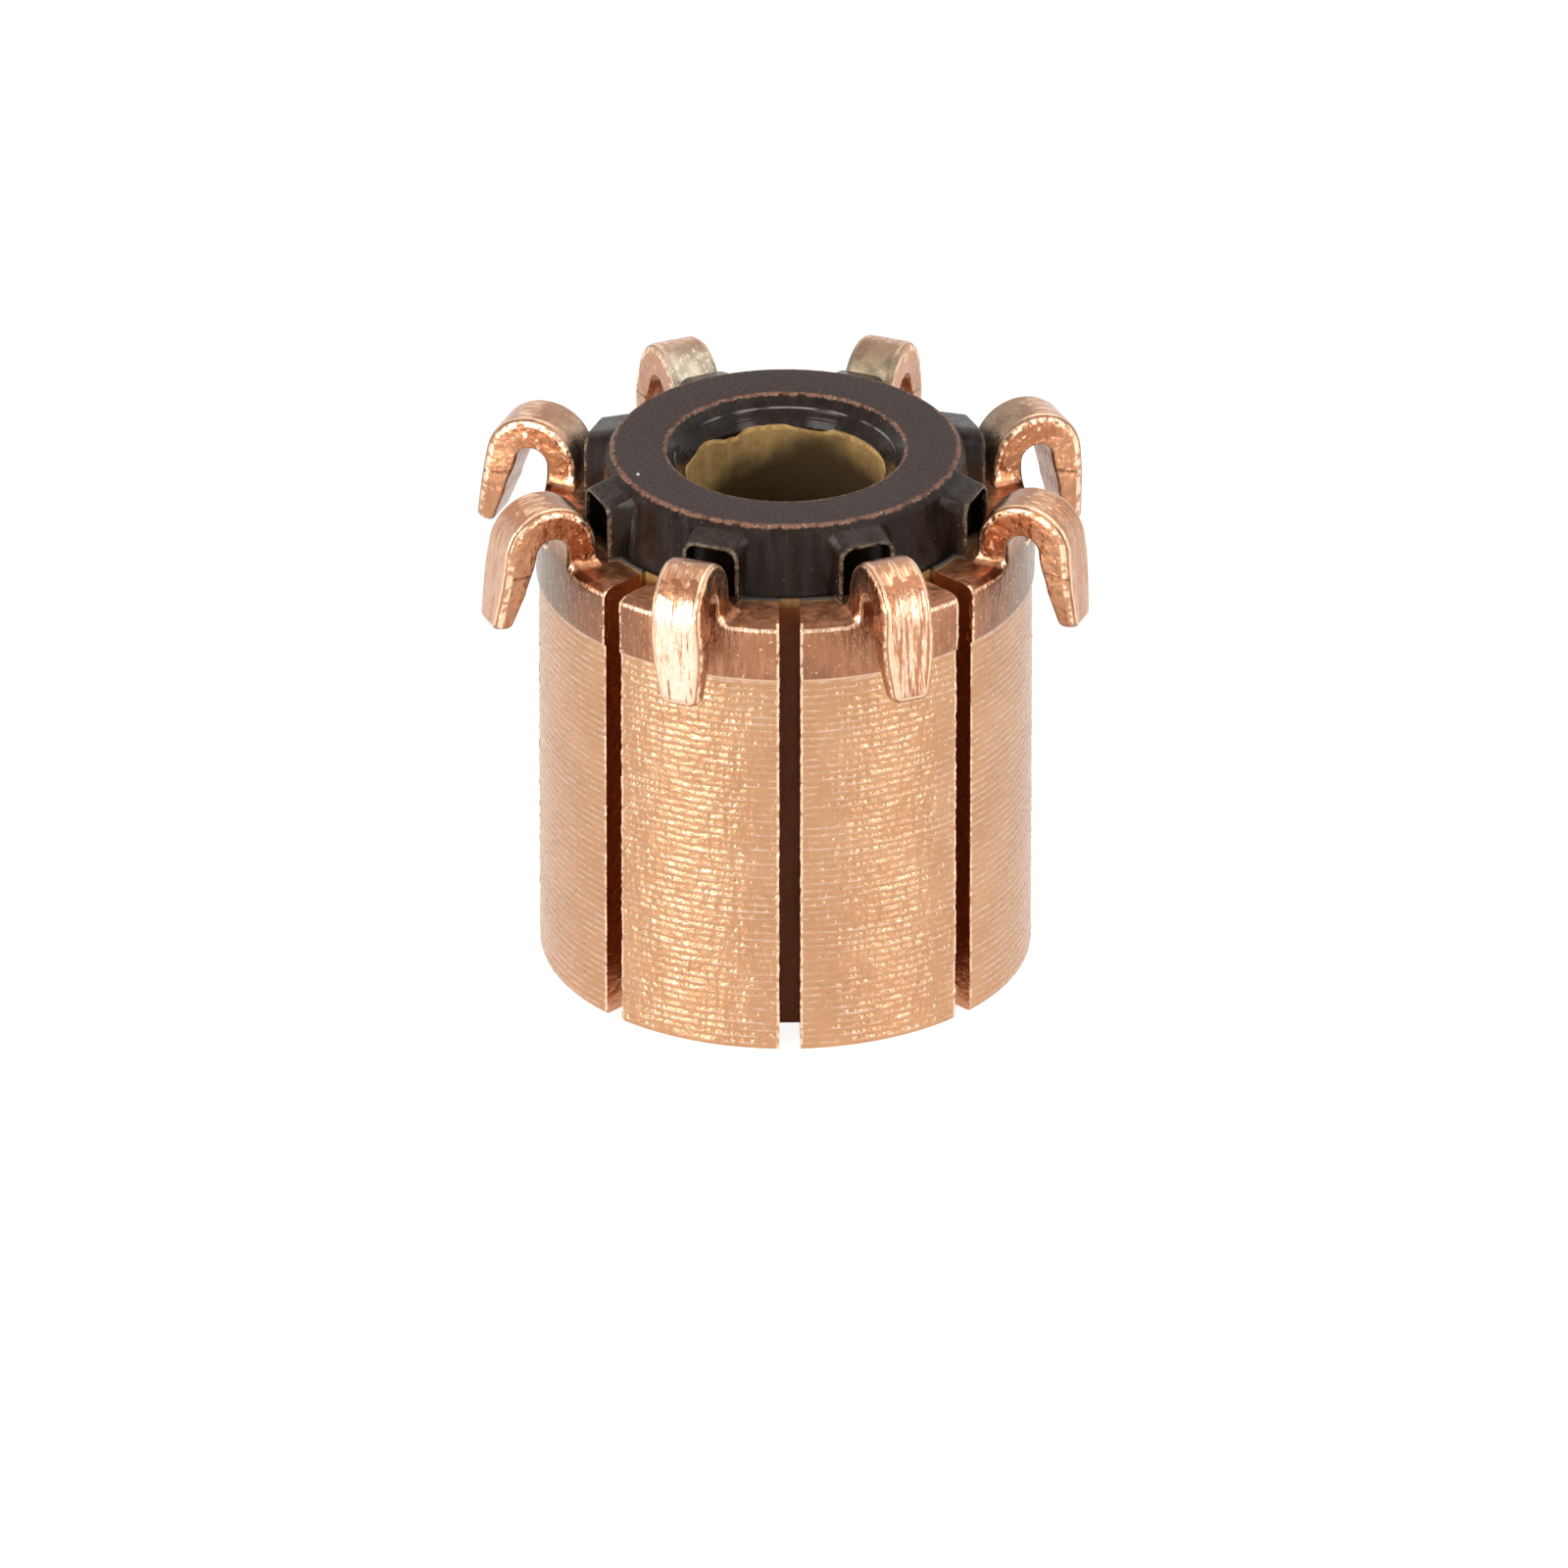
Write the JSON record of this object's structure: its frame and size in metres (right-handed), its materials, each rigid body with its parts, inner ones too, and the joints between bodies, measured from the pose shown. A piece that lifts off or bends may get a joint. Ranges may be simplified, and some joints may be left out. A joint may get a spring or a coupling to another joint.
{
  "type": "hook commutator",
  "caption": "Moulded motor commutator: copper bars round a dark phenolic hub with a plain shaft bore, each bar ending in a bent winding hook seated against a collar.",
  "frame": {"origin": "on the shaft axis at the bottom face, the end away from the hooks", "axes": "+Z along the shaft axis towards the hook end, and a slot between two bars faces -Y"},
  "size_m": [0.025, 0.025, 0.0223],
  "materials": {
    "copper": "bare copper, turned on the brush track and drawn on the hooks",
    "phenolic": "moulded dark phenolic, machined in the bore and the slots"
  },
  "bodies": {
    "root": {"moulded_hub": "phenolic", "copper_bar_1": "copper", "copper_bar_2": "copper", "copper_bar_3": "copper", "copper_bar_4": "copper", "copper_bar_5": "copper", "copper_bar_6": "copper", "copper_bar_7": "copper", "copper_bar_8": "copper"}
  },
  "joints": []
}
